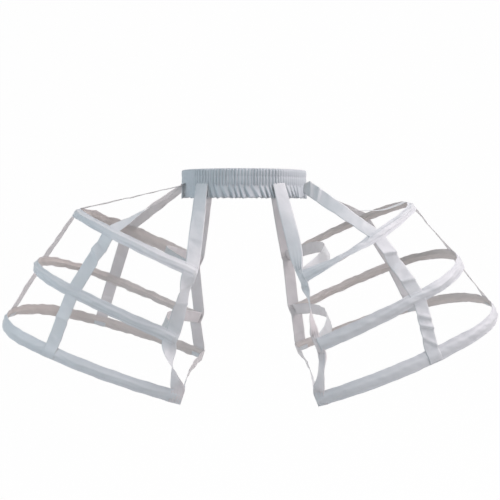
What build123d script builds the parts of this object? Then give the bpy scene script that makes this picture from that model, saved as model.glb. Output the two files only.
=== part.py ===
from build123d import *
from math import acos, atan2, ceil, cos, degrees, pi, radians, sin, sqrt
import os

os.makedirs("parts", exist_ok=True)

# Crinoline cage: a gathered elastic waistband that carries two side panniers. Each pannier has
# three boned hoops, a ribbon that closes each hoop at the hip, and five tapes that hold the
# hoops one below the other. Millimetres. The origin is the middle of the waist, halfway up the
# elastic part of the band. X runs across, Y to the back and Z up.

# Waistband: a cloth casing shirred over one wide elastic, with a frill below its lower seam
WAIST_WIDTH = 243.0
WAIST_DEPTH = 180.0
BAND_HEIGHT = 30.0
GATHERS = 56
GATHER_DEPTH = 2.0
SEAM_DRAW_IN = 0.01
FRILL_HEIGHT = 23.0
FRILL_WALL = 1.4
FRILL_FOLD = 4.0
FRILL_SPREAD = 1.04
ELASTIC_THICKNESS = 1.0
ELASTIC_MARGIN = 2.0

# Ribbon that the tapes and the hip straps are cut from
RIBBON_WIDTH = 25.0
TAPE_THICKNESS = 0.6
STRAP_THICKNESS = 0.8

# Boned casing of a hoop: a flat tube of ribbon, thick over the bone and thin at its sewn edges
CASING_HEIGHT = 26.0
CASING_EDGE = 1.2
CASING_EASE = 0.7
BONE_WIDTH = 12.0
BONE_THICKNESS = 2.0
BONE_SETBACK = 6.0
TIP_LENGTH = 8.0
TIP_CHAMFER = 2.5
# Cloth as it is built: the puffed outside of the band is thinner than the other walls
CLOTH_WALL = 1.0
PUFF_WALL = 0.6
CLEARANCE = 0.3
# The hoops are built of short straight lengths that stay this close to their arcs
CHORD_SAG = 0.4

# Outline of each hoop in its own plane. The gap is from the front corner to the back corner,
# the bulge is how far a side stands out beyond its corner, the shoulder is how much smaller
# than half the hoop's width the radius of the nose is, and the reach is from corner to nose.
LEVELS = ("top", "middle", "bottom")
HIP_GAP = {"top": 272.0, "middle": 275.0, "bottom": 276.0}
SIDE_BULGE = {"top": 6.0, "middle": 5.0, "bottom": 9.0}
SHOULDER = {"top": 50.0, "middle": 11.0, "bottom": 27.0}
REACH = {"top": 252.0, "middle": 323.0, "bottom": 385.0}
LEAN = {"top": 25.0, "middle": 5.0, "bottom": 10.0}
STRAP_BOW = {"top": 70.0, "middle": 47.0, "bottom": 10.0}

# How each hoop hangs: how far out, back and up its hip line is from the waist, and the degrees
# by which it rises to its nose, turns to the back and rises to the back. The right pannier is
# lifted a little higher than the left one.
HANG = {
    ("left", "top"): (90.0, -10.0, -172.0, 25.0, -2.0, -3.0),
    ("left", "middle"): (109.0, -7.0, -292.0, 23.0, 6.0, -5.0),
    ("left", "bottom"): (99.0, -8.0, -387.0, 18.0, 3.0, 0.0),
    ("right", "top"): (98.0, -10.0, -168.0, 28.0, 1.0, 2.0),
    ("right", "middle"): (121.0, -14.0, -286.0, 25.0, 3.0, 2.0),
    ("right", "bottom"): (122.0, -13.0, -379.0, 21.0, 1.0, 4.0),
}

# Tapes: where each is sewn on the waist, in degrees round from the side, and on the hoops,
# as a distance along the hoop from its nose, for the front side and the back side. The front
# and back tapes cross the hoops at their corners.
WAIST_ANGLE_OUTER = 18.0
WAIST_ANGLE_FRONT = {"left": 51.0, "right": 58.0}
SIDE_TAPE_FROM_NOSE = {
    ("left", "top"): (155.0, 150.0),
    ("left", "middle"): (201.0, 187.0),
    ("left", "bottom"): (207.0, 214.0),
    ("right", "top"): (172.0, 133.0),
    ("right", "middle"): (208.0, 163.0),
    ("right", "bottom"): (238.0, 184.0),
}
# How far the edge of a corner tape stands past the casing's end. Where it is turned up inside
# the bottom hoop it stays short of the end, so that it clears the hip strap.
CORNER_TAPE_OVERHANG = {
    "left": {"top": 4.5, "middle": 6.5, "bottom": -0.5},
    "right": {"top": 12.5, "middle": 12.5, "bottom": -0.5},
}
TAPE_LAP = 5.0
TAPE_TURN_UP = 12.0

HALF_HEIGHT = CASING_HEIGHT / 2
HALF_THICK = BONE_THICKNESS / 2 + CLEARANCE + CLOTH_WALL
HALF_FLAT = BONE_WIDTH / 2 + CLEARANCE + CASING_EASE
HALF_EDGE = CASING_EDGE / 2
SEAM_Z = -BAND_HEIGHT / 2
WAIST_A = WAIST_WIDTH / 2
WAIST_B = WAIST_DEPTH / 2
ELASTIC_HEIGHT = BAND_HEIGHT - 2 * ELASTIC_MARGIN
ELASTIC_INSET = SEAM_DRAW_IN * WAIST_A + GATHER_DEPTH + PUFF_WALL + CLEARANCE
BAND_WALL = ELASTIC_INSET + ELASTIC_THICKNESS + CLEARANCE + CLOTH_WALL


def gathered_outline(depth, fold, grow=1.0):
    """Points round the waist that step out and in once for each gather."""
    points = []
    for step in range(2 * GATHERS):
        angle = pi * step / GATHERS
        inset = depth if step % 2 else depth - fold
        half_width, half_depth = (WAIST_A - inset) * grow, (WAIST_B - inset) * grow
        points.append((half_width * cos(angle), half_depth * sin(angle)))
    return points


def plain_outline(inset):
    """Points round the waist, one in the hollow of each gather."""
    turns = [pi * (2 * step + 1) / GATHERS for step in range(GATHERS)]
    return [((WAIST_A - inset) * cos(turn), (WAIST_B - inset) * sin(turn)) for turn in turns]


def waist_ring(inset, thickness, height):
    """An oval ring, centred on the band and creased at each gather, inset from the waist."""
    with BuildPart() as ring:
        with BuildSketch(Plane.XY.offset(-height / 2)):
            Polygon(*plain_outline(inset))
            Polygon(*plain_outline(inset + thickness), mode=Mode.SUBTRACT)
        extrude(amount=height)
    return ring.part


# Waistband: two puffed channels drawn in at the top edge, the middle stitching and the seam
with BuildPart() as waistband:
    drawn_in = 1.0 - SEAM_DRAW_IN
    channel = BAND_HEIGHT / 4
    for row, grow in enumerate((drawn_in, 1.0, drawn_in, 1.0, drawn_in)):
        with BuildSketch(Plane.XY.offset(SEAM_Z + row * channel)):
            Polygon(*gathered_outline(GATHER_DEPTH, GATHER_DEPTH, grow))
    loft(ruled=True)
    with BuildSketch(Plane.XY.offset(SEAM_Z)):
        Polygon(*plain_outline(BAND_WALL))
    extrude(amount=BAND_HEIGHT, mode=Mode.SUBTRACT)
    add(
        waist_ring(
            ELASTIC_INSET - CLEARANCE,
            ELASTIC_THICKNESS + 2 * CLEARANCE,
            ELASTIC_HEIGHT + 2 * CLEARANCE,
        ),
        mode=Mode.SUBTRACT,
    )

# Frill: the casing's turned heading, a thin wall of folds that opens out to its hem
with BuildPart() as frill:
    for wall, mode in ((0.0, Mode.ADD), (FRILL_WALL, Mode.SUBTRACT)):
        for height, grow in ((SEAM_Z, drawn_in), (SEAM_Z - FRILL_HEIGHT, FRILL_SPREAD)):
            with BuildSketch(Plane.XY.offset(height)):
                Polygon(*gathered_outline(FRILL_FOLD + wall, FRILL_FOLD, grow))
        loft(ruled=True, mode=mode)

with BuildPart() as waistband_whole:
    add(waistband.part)
    add(frill.part)
waistband_whole.part.label = "waistband"
export_step(waistband_whole.part, "parts/waistband.step")

waist_elastic = waist_ring(ELASTIC_INSET, ELASTIC_THICKNESS, ELASTIC_HEIGHT)
waist_elastic.label = "waist_elastic"
export_step(waist_elastic, "parts/waist_elastic.step")


class Hoop:
    """One hoop of a pannier, drawn on the right-hand side of the body.

    In its own plane it is a horseshoe: a round nose between two long side arcs that touch it.
    A place on it is given by the angle of its outward normal, 0 at the nose, rising to the
    back corner and falling to the front one.
    """

    def __init__(self, side, level):
        out, back, up, rise, turn, roll = HANG[side, level]
        self.side, self.level = side, level
        self.plane = Plane(Pos(out, back, up) * Rot(Z=turn) * Rot(Y=-rise) * Rot(X=roll))
        bulge = SIDE_BULGE[level]
        half_width = HIP_GAP[level] / 2 + bulge
        self.nose_radius = half_width - SHOULDER[level]
        self.nose_centre = REACH[level] - self.nose_radius
        # The side arc passes the corner, is widest where the hoop is, and touches the nose arc:
        # two circles that share a tangent give a quadratic for the centre's distance outward
        ratio = SHOULDER[level] / bulge
        linear = -2 * self.nose_centre
        constant = self.nose_centre**2 + SHOULDER[level] * (half_width + self.nose_radius - bulge)
        root = sqrt(linear**2 - 4 * (1 - ratio) * constant)
        self.side_centre = (-linear - root) / (2 * (1 - ratio))
        self.side_radius = (self.side_centre**2 + bulge**2) / (2 * bulge)
        self.side_centre_across = half_width - self.side_radius
        self.join_angle = degrees(
            atan2(-self.side_centre_across, self.nose_centre - self.side_centre)
        )
        self.lean = LEAN[level]

    def arc(self, angle):
        """Centre, across the hoop and along it, and radius of the arc at a normal angle."""
        if abs(angle) <= self.join_angle:
            return (self.nose_centre, 0.0), self.nose_radius
        across = self.side_centre_across if angle > 0 else -self.side_centre_across
        return (self.side_centre, across), self.side_radius

    def angle_at(self, along):
        """Normal angle at a distance along the hoop from its nose."""
        nose_length = self.nose_radius * radians(self.join_angle)
        if along <= nose_length:
            return degrees(along / self.nose_radius)
        return self.join_angle + degrees((along - nose_length) / self.side_radius)

    def corner_angle(self, distance=0.0):
        """Normal angle of the back side at a distance outward from the hip line."""
        return degrees(acos((distance - self.side_centre) / self.side_radius))

    def point(self, angle):
        """Place of a normal angle on the hoop's centre line."""
        (along, across), radius = self.arc(angle)
        turn = radians(angle)
        place = (along + radius * cos(turn), across + radius * sin(turn), 0)
        return self.plane.from_local_coords(place)

    def square_plane(self, point, heading):
        """Plane square to the casing: x is out of its face and y is up it, both leaned."""
        lean = radians(self.lean)
        outward = self.plane.z_dir.cross(heading)
        return Plane(point, outward * cos(lean) + self.plane.z_dir * sin(lean), heading)

    def face_plane(self, angle, stand_out=0.0, rise=0.0):
        """Plane square to the casing at a normal angle, moved out of its face and up it."""
        turn = radians(angle)
        heading = self.plane.x_dir * sin(turn) - self.plane.y_dir * cos(turn)
        square = self.square_plane(self.point(angle), heading)
        return Plane(square.from_local_coords((stand_out, rise, 0)), square.x_dir, heading)

    def chord_points(self):
        """Corners of a path of chords that keeps close to the arcs, from back to front."""
        past_hip = self.corner_angle(-2 * HALF_THICK)
        ends = (past_hip, self.join_angle, -self.join_angle, -past_hip)
        angles = []
        for start, end in zip(ends, ends[1:]):
            _, radius = self.arc((start + end) / 2)
            chords = ceil(radians(start - end) / (2 * acos(1 - CHORD_SAG / radius)))
            angles += [start + (end - start) * step / chords for step in range(chords)]
        return [self.point(angle) for angle in angles + [-past_hip]]

    def hip_plane(self, distance):
        """Plane square to the hoop's reach at a distance outward from the hip line."""
        return Plane(self.plane.from_local_coords((distance, 0, 0)), z_dir=self.plane.x_dir)


def sweep_hoop(hoop, profile, start, end=None):
    """Carry a profile round the hoop, cut square at a distance from the hip line.

    With a second distance, only the two ends of the strip between the distances are kept.
    """
    with BuildPart() as strip:
        with BuildLine() as path:
            Polyline(*hoop.chord_points())
        with BuildSketch(hoop.square_plane(path.line @ 0, path.line % 0)):
            add(profile)
        sweep(path=path.line, transition=Transition.RIGHT)
        split(bisect_by=hoop.hip_plane(start), keep=Keep.TOP)
        if end is not None:
            split(bisect_by=hoop.hip_plane(end), keep=Keep.BOTTOM)
    return strip.part


def ribbon(stations, width, thickness):
    """A thin ribbon through stations of point, width direction and facing direction.

    Each length between two stations is creased along one diagonal, so that it can twist.
    """
    rings = []
    for point, across, facing in stations:
        half = across.normalized() * (width / 2)
        rise = facing.normalized() * thickness
        rings.append((point - half, point + half, point + half + rise, point - half + rise))
    faces = [Face(Wire.make_polygon(ring)) for ring in (rings[0], rings[-1])]
    for this, following in zip(rings, rings[1:]):
        for near, far in ((0, 1), (3, 2), (0, 3), (1, 2)):
            for corner in ((this[near], this[far]), (following[far], following[near])):
                triangle = (this[near], following[far], corner[1])
                faces.append(Face(Wire.make_polygon(triangle)))
    return Solid(Shell(faces))


def swap_side(part, side):
    """A piece drawn for the right of the body, or its mirror image for the left."""
    return mirror(part, about=Plane.YZ) if side == "left" else part


def write(part, name):
    """Label a finished piece and write it."""
    part.label = name
    export_step(part, f"parts/{name}.step")


# Profiles of the casing and its bone: x is outward and y is up the casing
with BuildSketch() as casing_profile:
    with BuildLine():
        Polyline(
            (HALF_EDGE, HALF_HEIGHT),
            (HALF_THICK, HALF_FLAT),
            (HALF_THICK, -HALF_FLAT),
            (HALF_EDGE, -HALF_HEIGHT),
            (-HALF_EDGE, -HALF_HEIGHT),
            (-HALF_THICK, -HALF_FLAT),
            (-HALF_THICK, HALF_FLAT),
            (-HALF_EDGE, HALF_HEIGHT),
            close=True,
        )
    make_face()
    Rectangle(
        BONE_THICKNESS + 2 * CLEARANCE,
        BONE_WIDTH + 2 * CLEARANCE,
        mode=Mode.SUBTRACT,
    )

with BuildSketch() as bone_profile:
    Rectangle(BONE_THICKNESS, BONE_WIDTH)


def make_tips(hoop):
    """The two dipped plastic tips, each flush with an end of the bone."""
    with BuildPart() as tips:
        add(sweep_hoop(hoop, bone_profile.sketch, BONE_SETBACK, BONE_SETBACK + TIP_LENGTH))
        outer_ends = tips.faces().group_by(Axis(hoop.plane.origin, hoop.plane.x_dir))[0]
        short_edges = [edge for edge in outer_ends.edges() if edge.length < BONE_WIDTH / 2]
        chamfer(short_edges, TIP_CHAMFER)
    return tips.part


def make_strap(hoop):
    """The ribbon across the hip: leaned flat laps on the casing's ends, bowed out between them."""
    lean = radians(hoop.lean)
    corner = HIP_GAP[hoop.level] / 2
    near = -CLEARANCE - STRAP_THICKNESS
    lap_depth = HALF_THICK + CLEARANCE + STRAP_THICKNESS
    # The bow is an arc through its middle and the two starts of the laps
    lap_start = corner - lap_depth * cos(lean)
    rise = STRAP_BOW[hoop.level] - near
    radius = (lap_start**2 + rise**2) / (2 * rise)
    half_turn = atan2(lap_start, radius - rise)
    pieces = ceil(2 * half_turn / (2 * acos(1 - CHORD_SAG / radius)))
    laps = []
    for end in (-1, 1):
        # Up the casing's end and out across it
        up = hoop.plane.z_dir * cos(lean) - hoop.plane.y_dir * (end * sin(lean))
        across = hoop.plane.y_dir * (end * cos(lean)) + hoop.plane.z_dir * sin(lean)
        middle = hoop.plane.from_local_coords((near, end * corner, 0))
        turn = end * half_turn / 2
        folded = hoop.plane.x_dir * cos(turn) + hoop.plane.y_dir * sin(turn)
        laps.append((middle + across * HALF_EDGE, up, hoop.plane.x_dir))
        laps.append((middle - across * lap_depth, up, folded))
    stations = laps[:2]
    for step in range(1, pieces):
        turn = half_turn * (2 * step / pieces - 1)
        out = near + rise - radius * (1 - cos(turn))
        facing = hoop.plane.x_dir * cos(turn) + hoop.plane.y_dir * sin(turn)
        point = hoop.plane.from_local_coords((out, radius * sin(turn), 0))
        stations.append((point, hoop.plane.z_dir, facing))
    stations += [laps[3], laps[2]]
    return ribbon(stations, RIBBON_WIDTH, STRAP_THICKNESS)


def tape_angle(hoop, run):
    """Normal angle of a tape on a hoop: run is -2 for the front tape up to 2 for the back one."""
    if run == 0:
        return 0.0
    if abs(run) == 1:
        in_front, behind = SIDE_TAPE_FROM_NOSE[hoop.side, hoop.level]
        angle = hoop.angle_at(in_front if run < 0 else behind)
    else:
        overhang = CORNER_TAPE_OVERHANG[hoop.side][hoop.level]
        angle = hoop.corner_angle(RIBBON_WIDTH / 2 - overhang)
    return angle if run > 0 else -angle


def tape_stations(hoops, run):
    """Point, width direction and facing direction of a tape, from the waist down."""
    turn = radians((0.0, WAIST_ANGLE_OUTER, WAIST_ANGLE_FRONT[hoops[0].side])[abs(run)])
    turn = turn if run >= 0 else -turn
    along = Vector(-WAIST_A * sin(turn), WAIST_B * cos(turn), 0).normalized()
    outward = along.cross(Vector(0, 0, 1))
    sewn = Vector(WAIST_A * cos(turn), WAIST_B * sin(turn), SEAM_Z) + outward * CLEARANCE
    stations = [(sewn + Vector(0, 0, TAPE_LAP), along, outward)]
    reach, edge = HALF_THICK + CLEARANCE, HALF_EDGE + CLEARANCE
    bevel = degrees(atan2(HALF_THICK - HALF_EDGE, HALF_HEIGHT - HALF_FLAT))
    over_casing = (
        (edge, HALF_HEIGHT, bevel),
        (reach, HALF_FLAT, bevel / 2),
        (reach, -HALF_FLAT, -bevel / 2),
        (edge, -HALF_HEIGHT, -bevel),
    )
    wraps = [(hoop, over_casing) for hoop in hoops]
    # Under the lowest casing and up its inner face, which curves away from a flat tape
    _, radius = hoops[-1].arc(tape_angle(hoops[-1], run))
    hollow = radius - sqrt(radius**2 - (RIBBON_WIDTH / 2) ** 2) + CHORD_SAG
    below = -HALF_HEIGHT - CLEARANCE
    turned_under = (
        (edge, below, -45.0),
        (-edge - hollow, below, -135.0),
        (-reach - hollow, -HALF_FLAT, 180.0),
        (-reach - hollow, TAPE_TURN_UP - HALF_HEIGHT, 180.0),
    )
    wraps[-1] = (hoops[-1], over_casing[:-1] + turned_under)
    sewn_on = []
    for hoop, wrap in wraps:
        for stand_out, height, facing in wrap:
            face = hoop.face_plane(tape_angle(hoop, run), stand_out, height)
            turned = radians(facing)
            out_of_face = face.x_dir * cos(turned) + face.y_dir * sin(turned)
            sewn_on.append((face.origin, -face.z_dir, out_of_face))
    # At the seam the tape folds from the band's face to the line of its first free run
    leaving = (sewn_on[0][0] - sewn).normalized()
    folded = (outward + leaving.cross(along)).normalized()
    stations += [(sewn, along, folded)] + sewn_on
    return stations


TAPES = {-2: "front", -1: "front_side", 0: "side", 1: "back_side", 2: "back"}

for side in ("left", "right"):
    hoops = [Hoop(side, level) for level in LEVELS]
    for hoop in hoops:
        name = f"{side}_{hoop.level}"
        casing = sweep_hoop(hoop, casing_profile.sketch, 0.0)
        write(swap_side(casing, side), f"{name}_casing")
        bone = sweep_hoop(hoop, bone_profile.sketch, BONE_SETBACK + TIP_LENGTH)
        write(swap_side(bone, side), f"{name}_bone")
        write(swap_side(make_tips(hoop), side), f"{name}_bone_tips")
        write(swap_side(make_strap(hoop), side), f"{name}_hip_strap")
    for run, tape_name in TAPES.items():
        tape = ribbon(tape_stations(hoops, run), RIBBON_WIDTH, TAPE_THICKNESS)
        write(swap_side(tape, side), f"{side}_{tape_name}_tape")
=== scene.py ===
# %% [markdown]
# # A crinoline cage
# Two side panniers hang from one elastic waistband. Each is three flat bones, sewn into tubes
# of white satin, with tapes that hold them one below the other. Almost all that shows is thin
# cloth, so most pieces are sheets: grids of points that a formula places, and stitches where
# the real ones are sewn.

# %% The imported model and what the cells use
import bpy
import numpy as np
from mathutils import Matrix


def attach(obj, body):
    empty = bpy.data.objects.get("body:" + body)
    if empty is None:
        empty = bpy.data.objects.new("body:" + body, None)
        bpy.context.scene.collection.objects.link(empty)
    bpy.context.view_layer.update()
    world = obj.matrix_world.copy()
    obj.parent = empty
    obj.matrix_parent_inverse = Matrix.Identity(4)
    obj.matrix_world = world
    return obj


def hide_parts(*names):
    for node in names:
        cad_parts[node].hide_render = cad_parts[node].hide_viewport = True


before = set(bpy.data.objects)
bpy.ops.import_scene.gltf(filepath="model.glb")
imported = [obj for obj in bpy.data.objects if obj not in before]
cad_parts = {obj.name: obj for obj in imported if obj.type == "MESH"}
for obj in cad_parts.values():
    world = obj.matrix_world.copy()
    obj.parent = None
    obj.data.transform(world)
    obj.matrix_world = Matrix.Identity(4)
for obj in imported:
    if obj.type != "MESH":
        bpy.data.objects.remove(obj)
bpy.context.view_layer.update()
MM = 0.001


def to_scene(name, data):
    """A new object of a mesh, lamp or camera, linked to the scene."""
    thing = bpy.data.objects.new(name, data)
    bpy.context.scene.collection.objects.link(thing)
    return thing


print("solids:", len(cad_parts))

# %% [markdown]
# ## Sizes
# Sizes are the solids' own, in millimetres from the middle of the waist. X runs across, Y to
# the back and Z up. All is worked out on the right-hand side, where X is positive, and the
# left side is its mirror image with a hang of its own.

# %% Sizes of the pieces
WAIST_A, WAIST_B = 121.5, 90.0
BAND_HALF = 15.0
FRILL_HEIGHT = 23.0
RIBBON_WIDTH = 25.0
RIBBON_HALF = RIBBON_WIDTH / 2
BONE_HALF, BONE_HALF_THICK = 6.0, 1.0
BONE_SETBACK, TIP_LENGTH = 6.0, 8.0
CASING_HALF = 13.0
CASING_HALF_THICK = 2.3
EDGE_HALF_THICK = 0.55
CLOTH = 0.35
print("ribbon:", RIBBON_WIDTH, "mm wide, casing:", 2 * CASING_HALF, "mm high")

# %% Outline and hang of each hoop
LEVELS = ("top", "middle", "bottom")
HIP_GAP = {"top": 272, "middle": 275, "bottom": 276}
SIDE_BULGE = {"top": 6, "middle": 5, "bottom": 9}
SHOULDER = {"top": 50, "middle": 11, "bottom": 27}
REACH = {"top": 252, "middle": 323, "bottom": 385}
LEAN = {"top": 25, "middle": 5, "bottom": 10}
STRAP_BOW = {"top": 70, "middle": 47, "bottom": 10}
# How far out, back and up the hip line is, and the degrees of rise, turn and roll
HANG = {
    ("left", "top"): (90, -10, -172, 25, -2, -3),
    ("left", "middle"): (109, -7, -292, 23, 6, -5),
    ("left", "bottom"): (99, -8, -387, 18, 3, 0),
    ("right", "top"): (98, -10, -168, 28, 1, 2),
    ("right", "middle"): (121, -14, -286, 25, 3, 2),
    ("right", "bottom"): (122, -13, -379, 21, 1, 4),
}
# Where the side tapes cross, in front and behind, as a distance from the nose, and how far a
# corner tape's edge stands past the casing's end
SIDE_TAPE_FROM_NOSE = {
    ("left", "top"): (155, 150), ("right", "top"): (172, 133),
    ("left", "middle"): (201, 187), ("right", "middle"): (208, 163),
    ("left", "bottom"): (207, 214), ("right", "bottom"): (238, 184),
}
CORNER_TAPE_OVERHANG = {
    "left": {"top": 4.5, "middle": 6.5, "bottom": -0.5},
    "right": {"top": 12.5, "middle": 12.5, "bottom": -0.5},
}
TAPE_TURN_UP = 12.0
print("hoops:", len(HANG))

# %% [markdown]
# ## The camera
# The camera comes first, as the view by which each piece is judged: about 1.1 m in front of
# the waist, a little below it, and tipped down by 5 degrees.

# %% Camera
CAMERA_PLACE = (0.00963, -1.08817, -0.04197)
CAMERA_DEGREES = (84.84, -0.17, -0.11)
camera = to_scene("camera", bpy.data.cameras.new("camera"))
camera.location = CAMERA_PLACE
camera.rotation_euler = [np.radians(turn) for turn in CAMERA_DEGREES]
camera.data.sensor_width = 36.0
camera.data.lens = 40.02
bpy.context.scene.camera = camera
print("camera:", tuple(round(x, 3) for x in camera.location))

# %% [markdown]
# ## Small tools for cloth
# Real cloth is never quite regular. A few sine waves with fixed random phases add up to a
# smooth wander, the same in each run. A grid of points becomes a mesh with a UV map in
# millimetres along and across the cloth, which its weave follows.

# %% Wander and cloth
def wander(distance, wavelength, seed):
    """Five sine waves near one wavelength, with random phases, summed to about -1 to 1."""
    draw = np.random.default_rng(seed)
    waves = wavelength * draw.uniform(0.6, 1.7, 5)
    phases = draw.uniform(0, 2 * np.pi, 5)
    return np.sin(2 * np.pi * np.asarray(distance)[..., None] / waves + phases).sum(-1) / 2.5


def smooth_step(x):
    """0 up to x = 0, 1 from x = 1, and 3x^2 - 2x^3 between them."""
    x = np.clip(x, 0, 1)
    return x * x * (3 - 2 * x)


def smoothed(values, times):
    """Values along a line, each but the ends drawn to its neighbours, that many times over."""
    for _ in range(times):
        values[1:-1] = 0.25 * values[:-2] + 0.5 * values[1:-1] + 0.25 * values[2:]
    return values


def quad_mesh(name, points, quads):
    """A smooth mesh of points in millimetres, and of quads, four point numbers to a row."""
    mesh = bpy.data.meshes.new(name)
    mesh.vertices.add(points.size // 3)
    mesh.vertices.foreach_set("co", (points * MM).ravel())
    mesh.loops.add(quads.size)
    mesh.loops.foreach_set("vertex_index", quads.ravel())
    mesh.polygons.add(quads.size // 4)
    mesh.polygons.foreach_set("loop_start", np.arange(0, quads.size, 4))
    mesh.update(calc_edges=True)
    mesh.shade_smooth()
    return mesh


def cloth(name, points, uv, finishes, ring=False, flip=False):
    """A grid of points, rows by columns by xyz, as quads. A ring joins its last column to the
    first, and its uv has one column more than its points."""
    rows, columns = points.shape[:2]
    index = np.arange(rows * columns).reshape(rows, columns)
    if ring:
        index = np.column_stack([index, index[:, 0]])
    corners = [(slice(None, -1), slice(None, -1)), (slice(None, -1), slice(1, None)),
               (slice(1, None), slice(1, None)), (slice(1, None), slice(None, -1))]
    if flip:
        corners.reverse()
    mesh = quad_mesh(name, points, np.stack([index[c] for c in corners], -1))
    layer = mesh.uv_layers.new(name="cloth")
    layer.uv.foreach_set("vector", np.stack([uv[c] for c in corners], 2).ravel())
    for finish in finishes:
        mesh.materials.append(finish)
    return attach(to_scene(name, mesh), "root")


def thicken(piece, offset):
    """Give a sheet the thickness of its cloth, with the dull reverse on its second side."""
    solid = piece.modifiers.new("thickness", "SOLIDIFY")
    solid.thickness = CLOTH * MM
    solid.offset = offset
    solid.material_offset = 1
    solid.material_offset_rim = 1


print("wander at 0:", round(float(wander(0.0, 10.0, 1)), 3))

# %% [markdown]
# ## Finishes
# Everything is white, so the finishes differ mostly in how they return light. Satin has long floats
# of bright thread on its face, and its reverse is duller. Its threads are about 0.2 mm apart,
# which no picture of the whole object can show, so they are drawn at 0.8 mm. The satin on the
# casings' inner faces and on the waistband is tinted darker, as painted shade.

# %% Colours and the node tool
def linear(hex_colour):
    """An sRGB hex colour as the linear red, green, blue and alpha that shaders use."""
    value = np.array([int(hex_colour[i : i + 2], 16) for i in (1, 3, 5)]) / 255
    return (*np.where(value <= 0.04045, value / 12.92, ((value + 0.055) / 1.055) ** 2.4), 1.0)


def add(tree, kind, settings=None, **links):
    """Add a node. Settings are its own properties, or its sockets with a value or another
    node's output. Links are sockets too, with _ for a space."""
    node = tree.nodes.new("ShaderNode" + kind)
    links = {name.replace("_", " "): output for name, output in links.items()}
    for name, value in {**(settings or {}), **links}.items():
        if isinstance(value, bpy.types.NodeSocket):
            tree.links.new(value, node.inputs[name])
        elif isinstance(name, str) and name in node.bl_rna.properties:
            setattr(node, name, value)
        else:
            node.inputs[name].default_value = value
    return node


def blank(name):
    """A new material with only its output, and the material's node tree."""
    material = bpy.data.materials.new(name)
    material.use_nodes = True
    material.node_tree.nodes.clear()
    return material, material.node_tree


def two_tone(tree, share, first, second):
    """A colour that drifts between two hex colours by a share. 6 and 7 are the node's colours."""
    both = {"data_type": "RGBA", 6: linear(first), 7: linear(second)}
    return add(tree, "Mix", both, Factor=share).outputs["Result"]


def mixed(tree, share, first, second):
    """Two shaders mixed. The share of the second is a number or another node's output."""
    both = {0: share, 1: first.outputs[0], 2: second.outputs[0]}
    return add(tree, "MixShader", both).outputs[0]


print("white in linear light:", [round(float(x), 3) for x in linear("#E9ECF2")[:3]])

# %% Woven satin, face and reverse
WARP_PITCH = 0.8
# How many times the lines change in a millimetre along the ribbon
WARP_RUN = 0.02
CRUMPLE_SIZE = 26.0
TRANSLUCENCY = 0.22


def satin(name, light, shade, roughness, sheen, crumple):
    """Polyester satin, woven with its warp along the ribbon. Fine lines run lengthwise, and the
    surface is slightly crumpled from packing. Its colour follows the crumple, the shade colour in
    the hollows and the light one on the rises: painted shade over the bump's own shading."""
    material, tree = blank(name)
    uv = add(tree, "UVMap", {"uv_map": "cloth"})
    along = add(tree, "Mapping", {"Scale": (WARP_RUN, 1 / WARP_PITCH, 1)}, Vector=uv.outputs[0])
    warp = add(tree, "TexNoise", {"Scale": 1.0, "Detail": 1.0}, Vector=along.outputs[0])
    place = add(tree, "TexCoord")
    folds = add(tree, "TexNoise", {"Scale": 1000 / CRUMPLE_SIZE, "Detail": 2.0,
                "Roughness": 0.45}, Vector=place.outputs["Object"])
    # Painted shade: the crumple's own noise darkens its hollows towards the shade colour
    tint = two_tone(tree, folds.outputs["Fac"], shade, light)
    rise = add(tree, "Bump", {"Strength": 0.5, "Distance": crumple * MM},
               Height=folds.outputs["Fac"])
    lines = add(tree, "Bump", {"Strength": 0.35, "Distance": 0.12 * MM},
                Height=warp.outputs["Fac"], Normal=rise.outputs[0])
    gloss = add(tree, "MapRange", {"From Min": 0.35, "From Max": 0.65,
                "To Min": roughness - 0.05, "To Max": roughness + 0.06}, Value=warp.outputs["Fac"])
    shader = add(tree, "BsdfPrincipled", {"Sheen Weight": sheen, "Sheen Roughness": 0.4,
                 "IOR": 1.53, "Anisotropic": 0.35}, Base_Color=tint,
                 Roughness=gloss.outputs[0], Normal=lines.outputs[0])
    # Thin white cloth lets some light through, a little warmer than it was
    through = add(tree, "BsdfTranslucent", {"Color": linear("#EEECE9")})
    add(tree, "OutputMaterial", Surface=mixed(tree, TRANSLUCENCY, shader, through))
    return material


satin_face = satin("polyester_satin_woven_face", "#E3ECEE", "#D5DFE3", 0.42, 0.15, 4.5)
satin_reverse = satin("polyester_satin_woven_reverse", "#E9EAEB", "#D9D9DA", 0.52, 0.1, 1.6)
# The casings' inner faces are the same satin as their outer faces, tinted warmer and darker as
# painted shade inside the panniers
satin_inner_painted_shade = satin("polyester_satin_casing_inner_painted_shade", "#E5E2DE", "#D3D0CB", 0.58, 0.05, 1.6)
# The waistband's satin is darker than the casings', as painted shade for the shadows between its
# gathers
satin_shirred_painted_shade = satin("polyester_satin_shirred_painted_shade", "#D0DCE1", "#BBC9CF", 0.46, 0.15, 0.8)
print("satins: face, reverse, lining and gathered")

# %% Thread, boning, dipped tips and elastic
def plain(name, colour, other, size, roughness, bump, stretch=(1, 1, 1)):
    """A finish with a fine grain in object coordinates: size is the grain in millimetres."""
    material, tree = blank(name)
    place = add(tree, "TexCoord")
    scaled = add(tree, "Mapping", {"Scale": stretch}, Vector=place.outputs["Object"])
    grain = add(tree, "TexNoise", {"Scale": 1000 / size, "Detail": 2.0},
                Vector=scaled.outputs[0])
    tint = two_tone(tree, grain.outputs["Fac"], colour, other)
    rise = add(tree, "Bump", {"Strength": 0.5, "Distance": bump * MM},
               Height=grain.outputs["Fac"])
    shader = add(tree, "BsdfPrincipled", {"Roughness": roughness, "IOR": 1.5},
                 Base_Color=tint, Normal=rise.outputs[0])
    add(tree, "OutputMaterial", Surface=shader.outputs[0])
    return material


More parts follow.
